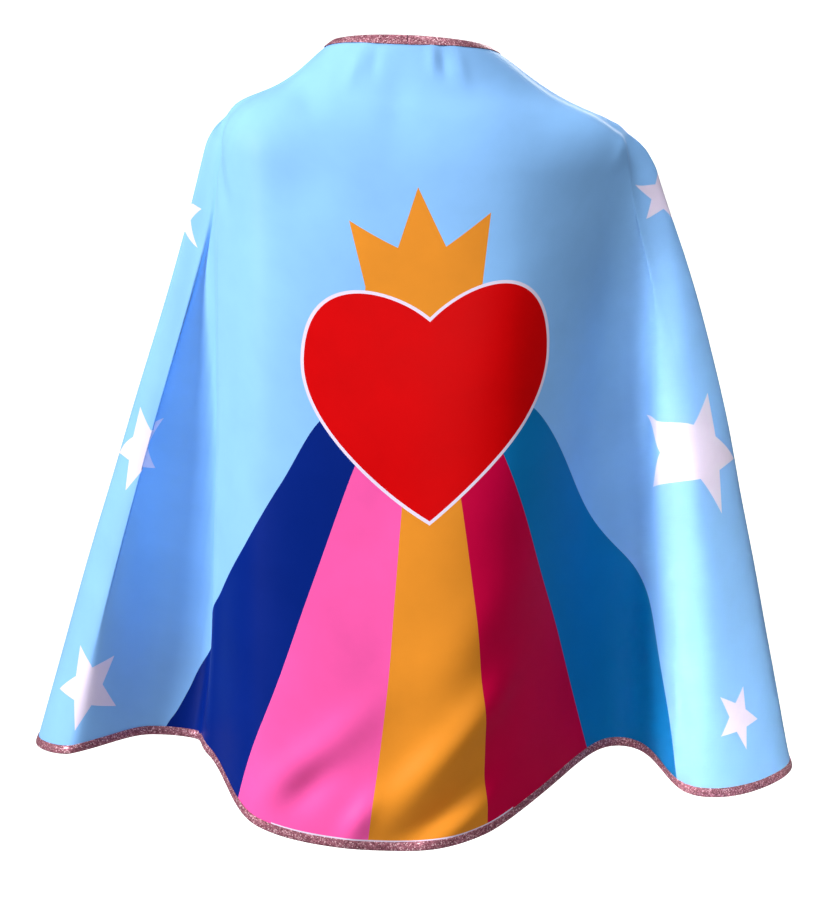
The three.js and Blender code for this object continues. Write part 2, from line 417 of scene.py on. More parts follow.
def flat_place(station, share):
    """Across and down, in millimetres, of places on the cloth."""
    a = np.clip(station / STATION_STEP, 0, len(RULE_STATIONS) - 1.001)
    b = np.clip((share + 1) / SHARE_STEP, 0, len(RULE_SHARES) - 1.001)
    i, j = a.astype(int), b.astype(int)
    a, b = (a - i)[..., None], (b - j)[..., None]
    near = RULE[i, j] * (1 - b) + RULE[i, j + 1] * b
    far = RULE[i + 1, j] * (1 - b) + RULE[i + 1, j + 1] * b
    return near * (1 - a) + far * a


def cloth_place(across, down):
    """Station and share of places given in millimetres across and down, by Newton's way."""
    target = np.stack([across, down], -1)
    station = np.interp(across, RULE[:, START_SHARE, 0], RULE_STATIONS)
    share = np.interp(down, RULE[START_STATION, :, 1], RULE_SHARES)
    for _ in range(SEARCH_ROUNDS):
        here = flat_place(station, share)
        by_station = flat_place(station + 0.05, share) - flat_place(station - 0.05, share)
        by_share = flat_place(station, share + 0.01) - flat_place(station, share - 0.01)
        by_station, by_share = by_station / 0.1, by_share / 0.02
        miss = target - here
        size = by_station[..., 0] * by_share[..., 1] - by_station[..., 1] * by_share[..., 0]
        move = (miss[..., 0] * by_share[..., 1] - miss[..., 1] * by_share[..., 0]) / size
        slide = (miss[..., 1] * by_station[..., 0] - miss[..., 0] * by_station[..., 1]) / size
        station = np.clip(station + np.clip(move, -0.5, 0.5), 0.06, LAST - 0.06)
        share = np.clip(share + np.clip(slide, -0.2, 0.2), -0.98, 1.23)
    return station, share


across_hem = RULE[:, np.argmin(abs(RULE_SHARES - 1)), 0]
print("hem length in mm:", round(across_hem[-1] - across_hem[0]))
print("centre back in mm:", flat_place(np.array(BACK_JOIN), np.array(1.0)).round()[1])

# %% [markdown]
# ## Folds and creases
# The ribs set the large swings of the hem. Between them the real cloth buckles more: one
# sharp fold falls from each corner of the shoulders, steep on the side nearer the centre
# back. Each is given as a line down the cloth with its rise and its width on both sides.

# %% Long folds
# Each line of a fold: down, across, rise, reach to the left and reach to the right.
# Each fold starts with the roundness of its crest. All in millimetres.
FOLDS = [(crest, np.array(rows, float)) for crest, rows in (
    (6, [(90, -212, 0, 20, 8), (140, -214, -9, 24, 9), (240, -222, -23, 31, 12),
         (371, -234, -35, 41, 15), (515, -252, -40, 47, 17), (600, -263, -37, 49, 19),
         (680, -272, -22, 48, 22), (760, -282, -8, 48, 24)]),
    (7, [(110, -196, 0, 16, 26), (260, -198, 3, 14, 24), (371, -205, 4, 16, 26),
         (515, -220, 4, 18, 28), (640, -236, 3, 20, 30), (760, -252, 1, 20, 30)]),
    (18, [(120, 232, 0, 24, 16), (180, 222, -9, 34, 24), (271, 212, -15, 42, 30),
          (394, 208, -21, 46, 32), (537, 226, -21, 50, 34), (661, 256, -12, 48, 38),
          (760, 276, -3, 46, 40)]),
    (13, [(180, 258, 0, 22, 22), (271, 264, 8, 24, 28), (394, 274, 18, 28, 32),
          (537, 306, 21, 32, 34), (661, 338, 16, 36, 36), (760, 360, 8, 38, 38)]),
)]


def fold_height(across, down):
    height = np.zeros_like(across)
    for crest, rows in FOLDS:
        row = spline(rows[:, 1:], np.interp(down, rows[:, 0], np.arange(len(rows))))
        off = across - row[..., 0]
        blend = 1 / (1 + np.exp(-off / 4))
        width = row[..., 2] * (1 - blend) + row[..., 3] * blend
        distance = np.sqrt(off**2 + crest**2) - crest
        height += row[..., 1] * np.exp(-distance / width)
    return height


print("long folds:", len(FOLDS))

# %% [markdown]
# Soft creases run where the cloth pulls: up from the hem towards the right shoulder, and
# out from the neck band. Each is a low ridge or hollow along a line on the flat cloth,
# which fades at both ends.

# %% Creases and the finished surface
# across and down of the two ends, height and half width, all in millimetres
CREASES = [
    ((-32, 704), (92, 592), 10.0, 19),
    ((-20, 720), (84, 664), -5.0, 13),
    ((8, 724), (80, 692), 4.0, 11),
    ((-128, 706), (-22, 596), 5.6, 15),
    ((-106, 704), (-60, 655), -6.5, 13),
    ((-52, 722), (-22, 672), 5.4, 10),
    ((20, 590), (100, 500), 4.0, 30),
    ((-222, 118), (-168, 220), -3.0, 10),
    ((226, 128), (196, 176), 2.5, 9),
    ((-40, 8), (-56, 60), 1.6, 7),
    ((-27, 8), (-33, 46), -1.3, 6),
    ((-100, 45), (-88, 100), -3.6, 16),
    ((20, 8), (22, 40), 1.6, 5),
    ((30, 8), (34, 46), -1.8, 5),
    ((42, 8), (50, 60), 1.4, 7),
    ((-8, 20), (-12, 110), -1.4, 14),
    ((60, 60), (120, 110), 1.8, 18),
    ((-70, 120), (-120, 200), -2.0, 26),
]


def crease_height(across, down):
    height = np.zeros_like(across)
    for start, end, rise, half_width in CREASES:
        start, end = np.array(start, float), np.array(end, float)
        length = np.linalg.norm(end - start)
        run = (end - start) / length
        along = (across - start[0]) * run[0] + (down - start[1]) * run[1]
        off = (down - start[1]) * run[0] - (across - start[0]) * run[1]
        fade = np.clip((along + length * 0.25) / (length * 1.5), 0, 1)
        height += rise * np.exp(-(off / half_width) ** 2) * np.sin(np.pi * fade) ** 2
    return height


def swell_height(across, down):
    slow = np.sin(across / 47 + 0.6) * np.sin(down / 83 + across / 140 + 1.1)
    quick = np.sin(across / 23 + down / 71) * np.sin(down / 39 - across / 57 + 2.0)
    return 1.3 * slow + 0.45 * quick


def surface(station, share, offset=0.0):
    """Place and outward normal on the finished cloth, creases included."""
    station, share = np.asarray(station, float), np.asarray(share, float)
    plain = drape(station, share, offset)
    beside = drape(np.minimum(station + 0.01, LAST), share, offset)
    beside -= drape(np.maximum(station - 0.01, 0), share, offset)
    along = drape(station, share, offset + 1.0) - drape(station, share, offset - 1.0)
    normal = unit(np.cross(along, beside))
    flat = flat_place(station, share)
    across, down = flat[..., 0], flat[..., 1] + offset
    calm = np.clip(down / 40, 0, 1) * np.clip((LAST - station) * 2, 0, 1)
    calm = calm * np.clip(station * 2, 0, 1)
    height = crease_height(across, down) + fold_height(across, down)
    height = height + calm * swell_height(across, down)
    return plain + normal * height[..., None], normal


def surface_normal(station, share, offset=0.0):
    beside = surface(np.minimum(station + 0.01, LAST), share, offset)[0]
    beside = beside - surface(np.maximum(station - 0.01, 0), share, offset)[0]
    along = surface(station, share, offset + 1.5)[0] - surface(station, share, offset - 1.5)[0]
    return unit(np.cross(along, beside))


print("creases:", len(CREASES))

# %% [markdown]
# ## The print
# The design is a heart with a three-point crown over it, five bands that fan out from
# under the heart to the hem, and three plain stars on each side. On real satin it is dyed
# in before the panel is cut. Here each shape is an outline on the flat cloth, in
# millimetres across and down from the middle of the neck, and is cut into the mesh, so
# that its edge stays sharp however close the camera comes.

# %% Outlines: bands, crown
STEP = 3.0


def smooth_line(points):
    points = np.array(points, float)
    count = int(np.linalg.norm(np.diff(points, axis=0), axis=1).sum() / STEP)
    return spline(points, np.linspace(0, len(points) - 1, count))


def straight_sides(corners):
    corners = np.array(corners, float)
    line = []
    for start, end in zip(corners, np.roll(corners, -1, axis=0)):
        count = max(1, int(np.linalg.norm(end - start) / STEP))
        line += [start + (end - start) * step / count for step in range(count)]
    return np.array(line)


BAND_EDGES = [
    [(-40, 345), (-75, 363), (-110, 428), (-149, 491), (-200, 537), (-240, 573), (-264, 610),
     (-276, 641), (-284, 660), (-294, 679), (-328, 752)],
    [(-20, 345), (-44, 395), (-82, 510), (-117, 614), (-163, 718), (-182, 758)],
    [(4, 345), (-3, 424), (-9, 510), (-15, 591), (-30, 717), (-36, 758)],
    [(34, 345), (48, 429), (60, 520), (68, 605), (77, 718), (81, 758)],
    [(64, 345), (89, 403), (130, 498), (170, 577), (222, 693), (252, 758)],
    [(90, 345), (125, 368), (182, 438), (231, 508), (256, 556), (280, 606), (311, 666),
     (333, 727), (345, 766)],
]
BAND_NAMES = ["navy", "pink", "gold", "crimson", "teal"]
band_lines = [smooth_line(points) for points in BAND_EDGES]
outlines = []
for name, left, right in zip(BAND_NAMES, band_lines, band_lines[1:]):
    outlines.append((name, np.concatenate([left, right[::-1]])))
CROWN = [(-40, 300), (-37, 238), (-52, 182), (-9, 201), (8, 147), (33, 202), (72, 179),
         (65, 241), (66, 300)]
outlines.append(("gold", straight_sides(CROWN)))
print("band and crown outlines:", len(outlines))

# %% [markdown]
# The heart is drawn like a paper one: one side from three curved strokes, mirrored for the
# other. Its white border is the same outline, and the red one is moved in by the border's
# width.

# %% Outlines: heart
HEART_CENTRE = (20.0, 340.0)
HEART_LEAN = -0.4
HEART_BORDER = 2.9
HEART_STROKES = [
    [(0, -77), (42, -116), (113, -106), (113, -26)],
    [(113, -26), (113, 22), (64, 58), (0, 104)],
]


def stroke_points(stroke, count=60):
    part = np.linspace(0, 1, count)[:, None]
    a, b, c, d = (np.array(point, float) for point in stroke)
    return (a * (1 - part) ** 3 + 3 * b * part * (1 - part) ** 2
            + 3 * c * part**2 * (1 - part) + d * part**3)


def even_steps(line, step=STEP):
    length = run_along(line)
    at = np.linspace(0, length[-1], int(length[-1] / step) + 1)
    return np.stack([np.interp(at, length, line[:, axis]) for axis in range(2)], 1)


def moved_in(line, amount):
    before, after = np.roll(line, 1, axis=0), np.roll(line, -1, axis=0)
    first, second = unit(line - before), unit(after - line)
    inward = [np.stack([-side[:, 1], side[:, 0]], 1) for side in (first, second)]
    middle = unit(inward[0] + inward[1])
    stretch = np.maximum((middle * inward[0]).sum(1, keepdims=True), 0.35)
    return line + middle * amount / stretch


def heart_outline():
    right = even_steps(np.concatenate([stroke_points(stroke) for stroke in HEART_STROKES]))
    left = right[::-1] * (-1, 1)
    return np.concatenate([right, left[1:-1]])


def placed(line, centre, degrees):
    turn = math.radians(degrees)
    spin = np.array([[math.cos(turn), math.sin(turn)], [-math.sin(turn), math.cos(turn)]])
    return line @ spin + centre


whole_heart = heart_outline()
outlines.append(("white", placed(whole_heart, HEART_CENTRE, HEART_LEAN)))
red_heart = moved_in(whole_heart, HEART_BORDER)
outlines.append(("red", placed(red_heart, HEART_CENTRE, HEART_LEAN)))
print("heart width in mm:", round(np.ptp(whole_heart[:, 0])))

# %% [markdown]
# The stars keep five even points on the hanging cloth, where the weave leans, so each is
# drawn square to the thread and then sheared to suit.

# %% Outlines: stars
STAR_WAIST = 0.45
# across, down, radius and turn in degrees
STARS = [
    (-259, 222, 28, -27.5),
    (-295, 432, 40.5, -127),
    (-360, 649, 39.7, -128),
    (258, 216, 28, -133),
    (300, 448, 56.7, -57),
    (380, 686, 29.2, -57),
]


def cloth_point(across, down):
    station, share = cloth_place(np.array(across, float), np.array(down, float))
    return drape(station, share)


def star_outline(across, down, radius, turn):
    sideways = (cloth_point(across + 4, down) - cloth_point(across - 4, down)) / 8
    downward = (cloth_point(across, down + 4) - cloth_point(across, down - 4)) / 8
    lean = downward @ unit(sideways)
    drop = math.sqrt(downward @ downward - lean**2)
    angles = np.radians(turn + 36 * np.arange(10))
    reach = np.where(np.arange(10) % 2 == 0, radius, radius * STAR_WAIST)
    x, y = reach * np.cos(angles), reach * np.sin(angles)
    step_down = y / drop
    step_across = (x - lean * step_down) / np.linalg.norm(sideways)
    return straight_sides(np.stack([across + step_across, down + step_down], 1))


for star in STARS:
    outlines.append(("white", star_outline(*star)))
print("outlines in the print:", len(outlines))

# %% [markdown]
# ## Cutting the panel
# The panel is woven from cells about 5 mm across, with closer rows where it turns over the
# shoulder. The print's outlines are laid over that grid and both are cut together by a
# triangulation that keeps every given edge. Cells that no outline crosses stay square, and
# each piece of cloth takes the colour of the last shape laid over it.

# %% Grid and cut
COLUMNS = 252
UPPER_ROWS, LOWER_ROWS = 28, 116
# the columns are evenly spaced along this share of the ribs
EVEN_SHARE = 0.6
# the unprinted margin beside the hem's tape: its width, its two ends and its point count
EDGE_MARGIN = 8.1
MARGIN_FROM, MARGIN_TO = 5.15, 7.22
MARGIN_POINTS = 60


def grid_lines():
    line = drape(RULE_STATIONS, np.full(len(RULE_STATIONS), EVEN_SHARE))
    run = run_along(line)
    stations = np.interp(np.linspace(0, run[-1], COLUMNS + 1), run, RULE_STATIONS)
    upper = np.linspace(-1, 0, UPPER_ROWS + 1)
    lower = np.linspace(0, 1, LOWER_ROWS + 1)[1:]
    return stations, np.concatenate([upper, lower])


column_stations, row_shares = grid_lines()
ROWS = len(row_shares) - 1


def to_grid(station, share):
    beyond = (share - 1) * LOWER_ROWS
    row = np.interp(share, row_shares, np.arange(ROWS + 1)) + np.maximum(beyond, 0)
    return np.stack([np.interp(station, column_stations, np.arange(COLUMNS + 1)), row], -1)


def margin_outline():
    stations = np.linspace(MARGIN_FROM, MARGIN_TO, MARGIN_POINTS)
    down_length = np.linalg.norm(rib(stations)[2], axis=1)
    inner = to_grid(stations, 1 - EDGE_MARGIN / down_length)
    outer = to_grid(stations, np.full(MARGIN_POINTS, 1.02))
    return np.concatenate([inner, outer[::-1]])


def turns_left(line):
    """True where an outline runs anticlockwise, as the triangulation expects of a face."""
    x, y = line[:, 0], line[:, 1]
    return (x * np.roll(y, -1) - y * np.roll(x, -1)).sum() > 0


def cut_panel():
    corners = [(c, r) for r in range(ROWS + 1) for c in range(COLUMNS + 1)]
    wide = COLUMNS + 1
    cells = [(r * wide + c, r * wide + c + 1, (r + 1) * wide + c + 1, (r + 1) * wide + c)
             for r in range(ROWS) for c in range(COLUMNS)]
    shapes = [(name, to_grid(*cloth_place(line[:, 0], line[:, 1]))) for name, line in outlines]
    shapes.append(("white", margin_outline()))
    points = [Vector(corner) for corner in corners]
    faces = list(cells)
    for _, line in shapes:
        ring = range(len(points), len(points) + len(line))
        faces.append(tuple(ring) if turns_left(line) else tuple(reversed(ring)))
        points += [Vector(point) for point in line]
    cut = delaunay_2d_cdt(points, [], faces, 4, 1e-5, True)
    return cut, len(cells), [name for name, _ in shapes]


cut, cell_count, shape_names = cut_panel()
print("points after the cut:", len(cut[0]), "triangles:", len(cut[2]))

# %% [markdown]
# The cut gives triangles. Those that fill one whole cell are put back together as a square,
# which bends more evenly, and any that lie off the cloth are dropped.

# %% Faces of the panel
PRINT_NAMES = ["sky_blue", "navy", "pink", "gold", "crimson", "teal", "red", "white"]


def panel_faces(cut):
    in_cell = {}
    for face, sources in zip(cut[2], cut[5]):
        cells = [s for s in sources if s < cell_count]
        if cells:
            shapes = [s - cell_count for s in sources if s >= cell_count]
            name = shape_names[max(shapes)] if shapes else "sky_blue"
            in_cell.setdefault(cells[0], []).append((tuple(face), PRINT_NAMES.index(name)))
    output_of = {s: at for at, sources in enumerate(cut[3]) for s in sources}
    wide = COLUMNS + 1
    faces, colours = [], []
    for cell, parts in in_cell.items():
        if len(parts) == 2 and parts[0][1] == parts[1][1]:
            row, column = divmod(cell, COLUMNS)
            first = row * wide + column
            ring = (first, first + 1, first + wide + 1, first + wide)
            faces.append(tuple(output_of[corner] for corner in ring))
            colours.append(parts[0][1])
        else:
            faces += [face for face, _ in parts]
            colours += [colour for _, colour in parts]
    return faces, colours


flat_faces, flat_colours = panel_faces(cut)
grid_points = np.array([tuple(point) for point in cut[0]])
used = np.unique([at for face in flat_faces for at in face])
fresh = np.full(len(grid_points), -1)
fresh[used] = np.arange(len(used))
grid_points = grid_points[used]
flat_faces = [tuple(int(fresh[at]) for at in face) for face in flat_faces]
print("faces on one side of the panel:", len(flat_faces))

# %% [markdown]
# ## Satin
# Printed polyester satin has long threads on its face, so light slides along it: a smooth
# cloth with a soft broad shine and no visible texture until very close. The dye changes
# colour only, so every colour of the print is one recipe with another dye. The thread
# spacing of about 0.25 mm is too fine to show and is drawn at 1 mm. The back of the cloth
# is matt white, with a trace of the dye from the other side.

# %% Satin materials
WEAVE = 1.0
# The wave texture shows one band every 0.314 units at scale 1.
WAVE_BANDS = 0.314
DYES = {
    "sky_blue": "#8cc2fb",
    "navy": "#00217c",
    "pink": "#fb5cae",
    "gold": "#e68f2a",
    "crimson": "#c80040",
    "teal": "#0b76b8",
    "red": "#d40004",
    "white": "#ebdff7",
}


def weave_bump(tree, strength):
    cloth = add_node(tree, "ShaderNodeUVMap", uv_map="cloth")
    thread = add_node(tree, "ShaderNodeTexWave", {
        "Vector": cloth.outputs["UV"], "Scale": WAVE_BANDS / (WEAVE * MM),
        "Distortion": 0.4, "Detail": 1.0}, wave_type="BANDS", bands_direction="DIAGONAL")
    slub = add_node(tree, "ShaderNodeTexNoise", {
        "Vector": cloth.outputs["UV"], "Scale": 900.0, "Detail": 2.0})
    both = add_node(tree, "ShaderNodeMath", {
        0: thread.outputs["Fac"], 1: slub.outputs["Fac"]}, operation="ADD")
    bump = add_node(tree, "ShaderNodeBump", {
        "Height": both.outputs["Value"], "Strength": strength, "Distance": 0.00012})
    return cloth, bump


def satin(name, dye, rough):
    material, tree = new_material(name)
    cloth, bump = weave_bump(tree, 0.12)
    cloud = add_node(tree, "ShaderNodeTexNoise", {
        "Vector": cloth.outputs["UV"], "Scale": 14.0, "Detail": 4.0, "Roughness": 0.55})
    depth = spread(tree, cloud, 0.95, 1.05)
    tint = add_node(tree, "ShaderNodeHueSaturation", {
        "Color": dye, "Value": depth.outputs["Result"]})
    gloss = spread(tree, cloud, rough - 0.03, rough + 0.03)
    shader = add_node(tree, "ShaderNodeBsdfPrincipled", {
        "Base Color": tint.outputs["Color"], "Roughness": gloss.outputs["Result"],
        "Normal": bump.outputs["Normal"]})
    return material, tree, shader


def printed_satin(name):
    dye = linear(DYES[name])
    material, tree, shader = satin("printed_satin_" + name, dye, 0.42)
    shader.inputs["IOR"].default_value = 1.54
    shader.inputs["Specular IOR Level"].default_value = 0.05
    shader.inputs["Sheen Weight"].default_value = 0.03
    shader.inputs["Sheen Roughness"].default_value = 0.35
    finish_material(tree, shader)
    return material


def satin_back(name):
    dye = linear(DYES[name])
    through = tuple(0.78 * white + 0.22 * ink for white, ink in zip(linear("#f1f1f4"), dye))
    material, tree, shader = satin("satin_back_" + name, through, 0.62)
    shader.inputs["Sheen Weight"].default_value = 0.2
    shader.inputs["Sheen Roughness"].default_value = 0.5
    finish_material(tree, shader)
    return material


face_satin = [printed_satin(name) for name in PRINT_NAMES]
back_satin = [satin_back(name) for name in PRINT_NAMES]
print("satin materials:", len(face_satin) + len(back_satin))

# %% [markdown]
# ## Sewing the panel together
# The cloth is one closed mesh: its printed face, its white back half a millimetre behind,
# and a narrow wall round the cut edge. The surface's own direction is stored at every
# point, so the shading stays smooth across the fine cuts of the print.

# %% Panel mesh
CLOTH_HALF = 0.25


def border_edges(faces):
    seen = {}
    for face in faces:
        for a, b in zip(face, face[1:] + face[:1]):
            seen[(a, b)] = True
    return [(a, b) for a, b in seen if (b, a) not in seen]


def build_mesh(name, points, faces, colours, materials):
    mesh = bpy.data.meshes.new(name)
    mesh.from_pydata(points * MM, [], faces)
    mesh.polygons.foreach_set("material_index", np.array(colours, np.int32))
    mesh.polygons.foreach_set("use_smooth", np.ones(len(faces), bool))
    for material in materials:
        mesh.materials.append(material)
    mesh.update()
    piece = bpy.data.objects.new(name, mesh)
    bpy.context.scene.collection.objects.link(piece)
    return piece


def add_cloth_uv(mesh, flat):
    loops = np.zeros(len(mesh.loops), np.int32)
    mesh.loops.foreach_get("vertex_index", loops)
    layer = mesh.uv_layers.new(name="cloth")
    layer.uv.foreach_set("vector", (flat[loops] * MM).astype(np.float32).ravel())


def make_panel():
    station = np.interp(grid_points[:, 0], np.arange(COLUMNS + 1), column_stations)
    share = np.interp(grid_points[:, 1], np.arange(ROWS + 1), row_shares)
    middle = surface(station, share)[0]
    normal = surface_normal(station, share)
    flat = flat_place(station, share)
    count = len(middle)
    first = np.array(flat_faces[0][:3])
    a, b, c = middle[first]
    outward = np.cross(b - a, c - a) @ normal[first[0]] > 0
    front = flat_faces if outward else [face[::-1] for face in flat_faces]
    back = [tuple(at + count for at in face[::-1]) for face in front]
    wall = [(b, a, a + count, b + count) for a, b in border_edges(front)]
    points = np.concatenate([middle + normal * CLOTH_HALF, middle - normal * CLOTH_HALF])
    wall_colour = PRINT_NAMES.index("white") + len(PRINT_NAMES)
    colours = flat_colours + [c + len(PRINT_NAMES) for c in flat_colours]
    colours += [wall_colour] * len(wall)
    panel = build_mesh("cape_panel", points, front + back + wall, colours,
                       face_satin + back_satin)
    add_cloth_uv(panel.data, np.concatenate([flat, flat]))
    normals = np.concatenate([normal, -normal])
    panel.data.normals_split_custom_set_from_vertices(normals.tolist())
    return panel


panel = make_panel()
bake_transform(panel)
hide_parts("cape_yoke", "cape_skirt")
print("panel triangles:", sum(len(p.vertices) - 2 for p in panel.data.polygons))

# %% [markdown]
# ## Glitter tape
# The binding is a woven rose-gold tape with lurex, thin strips of metal-coated film that
# flash one by one as they catch the light. The film is metallic over a dusky pink ground.
# Each flash is a cell of a Voronoi pattern about 0.9 mm across, with its own roughness and
# tilt. Each cell's base colour also runs from dark rose to near white, so the palest cells are
# painted glints.

# %% Glitter tape material
FLASH = 0.9


def glitter_tape():
    material, tree = new_material("rose_lurex_tape")
    place = add_node(tree, "ShaderNodeTexCoord")
    cells = add_node(tree, "ShaderNodeTexVoronoi", {
        "Vector": place.outputs["Object"], "Scale": 1 / (FLASH * MM)})
    parts = add_node(tree, "ShaderNodeSeparateColor", {"Color": cells.outputs["Color"]})
    # Base colour per cell, dark rose to near white: the palest cells are painted glints, the
    # darker ones random tone.
    colour = add_node(tree, "ShaderNodeValToRGB", {"Fac": parts.outputs["Red"]})
    colour_steps(colour, [(0.0, "#6e3642"), (0.42, "#99586a"), (0.8, "#b87484"),
                          (0.94, "#efc2cb")])
    soft = add_node(tree, "ShaderNodeTexNoise", {
        "Vector": place.outputs["Object"], "Scale": 60.0, "Detail": 3.0})
    shade = spread(tree, soft, 0.88, 1.1)
    tone = add_node(tree, "ShaderNodeHueSaturation", {
        "Color": colour.outputs["Color"], "Value": shade.outputs["Result"]})
    rough = add_node(tree, "ShaderNodeMapRange", {
        "Value": parts.outputs["Green"], "To Min": 0.25, "To Max": 0.6})
    tilt = add_node(tree, "ShaderNodeBump", {
        "Height": parts.outputs["Blue"], "Strength": 0.55, "Distance": 0.0003})
    shader = add_node(tree, "ShaderNodeBsdfPrincipled", {
        "Base Color": tone.outputs["Color"], "Roughness": rough.outputs["Result"],
        "Metallic": 0.35, "Normal": tilt.outputs["Normal"]})
    finish_material(tree, shader)
    return material


tape_cloth = glitter_tape()
print("flashes per centimetre:", round(10 / FLASH))

# %% [markdown]
# ## Binding
# A strip of tape is folded over the raw edge, so that it shows about 9 mm on each face, and
# is stitched through all layers. It is made as a folded section swept along the edge, with
# a soft roll at the fold and a gentle ripple along its length. The neck's tape is two lengths
# that meet at the centre back. The front edges' tapes cross the line where the cape
# swings, so, like the panel, they are fixed in place.

# %% Folded tape
TAPE_WIDTH = 10.0
# (in from the edge, out from the cloth) round half of the folded strip, in millimetres
HALF_SECTION = [(9.0, 0.42), (8.9, 0.78), (8.3, 0.98), (7.7, 0.86), (6.6, 1.12), (4.2, 1.3),
                (1.6, 1.3), (0.2, 1.12), (-0.65, 0.68), (-1.0, 0.0)]
HALF_INSIDE = [(-0.5, 0.0), (-0.3, 0.32), (0.6, 0.42), (4.4, 0.4), (8.9, 0.32)]
RIM_STEP, FRONT_STEP = 1.6, 2.0
FINE_STATIONS = 1200
STITCH_PITCH = 3.0
# the seam's distance in from the edge, and its height over the middle of the cloth
SEAM_AT, SEAM_HEIGHT = 7.7, 0.86
HEM_NARROW = 0.78


def folded_section():
    outer = HALF_SECTION + [(x, -y) for x, y in HALF_SECTION[-2::-1]]
    inner = [(x, -y) for x, y in HALF_INSIDE[::-1]] + HALF_INSIDE[1:]
    return np.array(outer + inner)


def edge_frame(station, share, offset, inward_station, inward_offset):
    edge, _ = surface(station, share, offset)
    normal = surface_normal(station, share, offset)
    toward, _ = surface(station + inward_station, share, offset + inward_offset)
    inward = toward - edge
    inward = unit(inward - normal * (inward * normal).sum(-1, keepdims=True))
    return edge, inward, normal


def sweep_tape(name, edge, inward, normal, flip, narrow):
    section = folded_section() * (narrow, 1)
    run = run_along(edge)
    ripple = 1 + 0.10 * np.sin(run / 5.3) * np.sin(run / 17.0 + 1.0)
    width = 1 + 0.022 * np.sin(run / 31.0) + 0.012 * np.sin(run / 9.1 + 2.0)
    x = section[None, :, 0] * width[:, None]
    y = section[None, :, 1] * ripple[:, None]
    points = edge[:, None] + inward[:, None] * x[..., None] + normal[:, None] * y[..., None]
    count, rings = section.shape[0], len(edge)
    faces = []
    for ring in range(rings - 1):
        for k in range(count):
            here, there = ring * count + k, ring * count + (k + 1) % count
            faces.append((here, there, there + count, here + count))
    last = (rings - 1) * count
    outer_count = 2 * len(HALF_SECTION) - 1
    caps = cap_faces(outer_count, count)
    faces += [face[::-1] for face in caps]
    faces += [tuple(last + k for k in face) for face in caps]
    if flip:
        faces = [face[::-1] for face in faces]
    return build_mesh(name, points.reshape(-1, 3), faces, np.zeros(len(faces)), [tape_cloth])


def cap_faces(outer_count, count):
    """Closes the strip's end: outer points face the inner points across the thickness."""
    inner_count = count - outer_count
    caps = []
    outer = list(range(outer_count))
    inner = [count - 1 - k for k in range(inner_count)]
    a = b = 0
    while a < outer_count - 1 or b < inner_count - 1:
        outer_first = (a + 1) / (outer_count - 1) <= (b + 1) / (inner_count - 1)
        if b == inner_count - 1 or (a < outer_count - 1 and outer_first):
            caps.append((outer[a], outer[a + 1], inner[b]))
            a += 1
        else:
            caps.append((outer[a], inner[b + 1], inner[b]))
            b += 1
    return caps


def even_stations(share, start, end, step):
    fine = np.linspace(start, end, FINE_STATIONS)
    line = surface(fine, np.full(FINE_STATIONS, share))[0]
    run = run_along(line)
    return np.interp(np.linspace(0, run[-1], int(run[-1] / step)), run, fine)


def rim_tape(name, share, start, end, narrow):
    station = even_stations(share, start, end, RIM_STEP)
    shares = np.full(len(station), float(share))
    parts = edge_frame(station, shares, 0.0, 0.0, -share * TAPE_WIDTH)
    return sweep_tape(name, *parts, flip=share < 0, narrow=narrow)


def front_offsets():
    upper, lower = rib(np.array([0.0, float(LAST)]))[1:]
    clear = TAPE_WIDTH - TAPE_REACH + 0.3
    return [(-np.linalg.norm(up) + clear, np.linalg.norm(down) - clear)
            for up, down in zip(upper, lower)]


def front_tape(name, side):
    station = 0.0 if side < 0 else float(LAST)
    start, end = front_offsets()[0 if side < 0 else 1]
    offset = np.linspace(start, end, int((end - start) / FRONT_STEP))
    stations, shares = np.full(len(offset), station), np.zeros(len(offset))
    parts = edge_frame(stations, shares, offset, -side / 8, 0.0)
    return sweep_tape(name, *parts, flip=side > 0, narrow=HEM_NARROW)


SEAM_HALF = 0.3 / NECK_WIDTH
neck_left = rim_tape("neck_tape_left", -1, 0, BACK_JOIN - SEAM_HALF, 1.0)
neck_right = rim_tape("neck_tape_right", -1, BACK_JOIN + SEAM_HALF, LAST, 1.0)
hem_tape = rim_tape("hem_tape", 1, 0, LAST, HEM_NARROW)
front_left = front_tape("front_tape_left", -1)
front_right = front_tape("front_tape_right", 1)
print("hem tape faces:", len(hem_tape.data.polygons))

# %% [markdown]
# ## Stitches
# A lock stitch shows as a row of short dashes on each face. One dash is modelled, a small
# ball drawn out to 2.3 mm with its ends pressed into the tape, and a copy is set at every
# 3 mm along each seam.

# %% One stitch
THREAD = 0.38
DASH = 2.3
END_SINK = 0.14


def model_stitch():
    deselect_all()
    bpy.ops.mesh.primitive_uv_sphere_add(segments=6, ring_count=5, radius=0.5)
    dash = bpy.context.object
    bpy.ops.object.mode_set(mode="EDIT")
    bpy.ops.mesh.select_all(action="SELECT")
    bpy.ops.transform.rotate(value=math.pi / 2, orient_axis="Y", center_override=(0, 0, 0))
    bpy.ops.transform.resize(value=(DASH, THREAD, THREAD), center_override=(0, 0, 0))
    bpy.ops.mesh.select_all(action="DESELECT")
    mesh = bmesh.from_edit_mesh(dash.data)
    for vertex in mesh.verts:
        vertex.select = abs(vertex.co.x) > DASH * 0.4
    mesh.select_flush_mode()
    bmesh.update_edit_mesh(dash.data)
    bpy.ops.transform.translate(value=(0, 0, -END_SINK))
    bpy.ops.object.mode_set(mode="OBJECT")
    points = np.array([tuple(v.co) for v in dash.data.vertices])
    faces = [tuple(p.vertices) for p in dash.data.polygons]
    bpy.data.objects.remove(dash)
    return points, faces


STITCH_POINTS, STITCH_FACES = model_stitch()
print("faces in one stitch:", len(STITCH_FACES))

# %% [markdown]
# The thread is twisted polyester in the tape's colour, with a low shine. One turn of the
# twist is 0.6 mm long. Its colour follows the bump: painted shade in the twist's grooves and
# painted highlight on its ridges.

# %% Thread and seams
TWIST = 0.6


